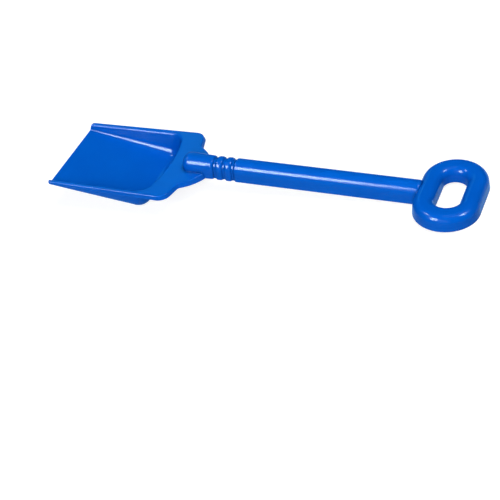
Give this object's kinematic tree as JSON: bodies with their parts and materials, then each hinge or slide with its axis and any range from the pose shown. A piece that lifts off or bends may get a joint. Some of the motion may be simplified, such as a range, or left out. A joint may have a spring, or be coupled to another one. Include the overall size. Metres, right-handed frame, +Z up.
{
  "type": "sand shovel",
  "caption": "Long-handled plastic sand shovel: open-fronted scoop with a sloping floor, ribbed neck, arched shaft and stadium-shaped loop grip.",
  "frame": {"origin": "middle of the shovel's bounding box, on the surface that it lies on with its scoop open upwards", "axes": "+X from the scoop's front edge towards the loop grip, +Z up as it lies, +Y completes the right-handed frame"},
  "size_m": [0.4466, 0.1142, 0.0392],
  "materials": {
    "blue_plastic": "glossy moulded plastic"
  },
  "bodies": {
    "root": {"scoop": "blue_plastic", "neck_collar": "blue_plastic", "shaft": "blue_plastic", "loop_grip": "blue_plastic"}
  },
  "joints": []
}
